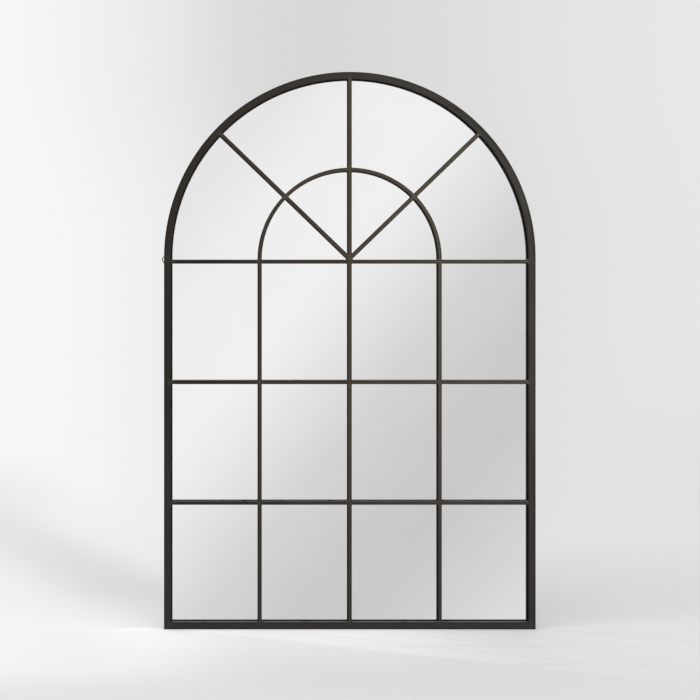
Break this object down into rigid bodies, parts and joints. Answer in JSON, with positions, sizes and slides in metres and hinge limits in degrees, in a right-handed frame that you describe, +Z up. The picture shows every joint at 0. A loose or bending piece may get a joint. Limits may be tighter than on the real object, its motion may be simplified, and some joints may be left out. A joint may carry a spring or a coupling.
{
  "type": "arched window mirror",
  "caption": "Full-length mirror in a metal window frame with a round head, glazing bars, a fan of spokes in the arch and swinging D-rings on its back.",
  "frame": {"origin": "on the floor, under the middle of the bottom rail, half way through the frame's depth", "axes": "+Z up, +X to the right of a viewer in front, +Y away from the viewer, towards the wall"},
  "size_m": [1.2338, 0.0338, 1.8288],
  "materials": {
    "patinated_steel": "dark bronze patina, mottled, satin",
    "mirror": "clear silvered glass, polished edge",
    "foam_tape": "closed-cell foam, matte",
    "rubber": "matte",
    "backing_board": "smooth hardboard, matte",
    "zinc_plate": "bright zinc plate"
  },
  "bodies": {
    "root": {"left_stile": "patinated_steel", "right_stile": "patinated_steel", "bottom_rail": "patinated_steel", "arch_head": "patinated_steel", "lower_bar": "patinated_steel", "middle_bar": "patinated_steel", "spring_bar": "patinated_steel", "upright_left_lower": "patinated_steel", "upright_left_middle": "patinated_steel", "upright_left_upper": "patinated_steel", "upright_centre_lower": "patinated_steel", "upright_centre_middle": "patinated_steel", "upright_centre_upper": "patinated_steel", "upright_right_lower": "patinated_steel", "upright_right_middle": "patinated_steel", "upright_right_upper": "patinated_steel", "inner_arch": "patinated_steel", "spoke_centre_inner": "patinated_steel", "spoke_centre_outer": "patinated_steel", "spoke_left_inner": "patinated_steel", "spoke_left_outer": "patinated_steel", "spoke_right_inner": "patinated_steel", "spoke_right_outer": "patinated_steel", "glazing_tape": "foam_tape", "mirror_glass": "mirror", "setting_block_left": "rubber", "setting_block_right": "rubber", "backing_board": "backing_board", "clip_left_1": "zinc_plate", "clip_right_1": "zinc_plate", "clip_left_2": "zinc_plate", "clip_right_2": "zinc_plate", "clip_left_3": "zinc_plate", "clip_right_3": "zinc_plate", "clip_bottom_1": "zinc_plate", "clip_bottom_2": "zinc_plate", "clip_arch_1": "zinc_plate", "clip_arch_2": "zinc_plate", "clip_arch_3": "zinc_plate", "clip_screw_left_1": "zinc_plate", "clip_screw_right_1": "zinc_plate", "clip_screw_left_2": "zinc_plate", "clip_screw_right_2": "zinc_plate", "clip_screw_left_3": "zinc_plate", "clip_screw_right_3": "zinc_plate", "clip_screw_bottom_1": "zinc_plate", "clip_screw_bottom_2": "zinc_plate", "clip_screw_arch_1": "zinc_plate", "clip_screw_arch_2": "zinc_plate", "clip_screw_arch_3": "zinc_plate", "hanger_strap_left": "zinc_plate", "hanger_screw_left_1": "zinc_plate", "hanger_screw_left_2": "zinc_plate", "hanger_strap_right": "zinc_plate", "hanger_screw_right_1": "zinc_plate", "hanger_screw_right_2": "zinc_plate"},
    "left_ring": {"d_ring_left": "zinc_plate"},
    "right_ring": {"d_ring_right": "zinc_plate"}
  },
  "joints": [
    {"name": "left_ring_swing", "type": "hinge", "parent": "root", "child": "left_ring", "pos_m": [-0.5969, 0.0178, 1.222], "axis": [1, 0, 0], "range_deg": [0, 187]},
    {"name": "right_ring_swing", "type": "hinge", "parent": "root", "child": "right_ring", "pos_m": [0.5969, 0.0178, 1.222], "axis": [1, 0, 0], "range_deg": [0, 187]}
  ]
}
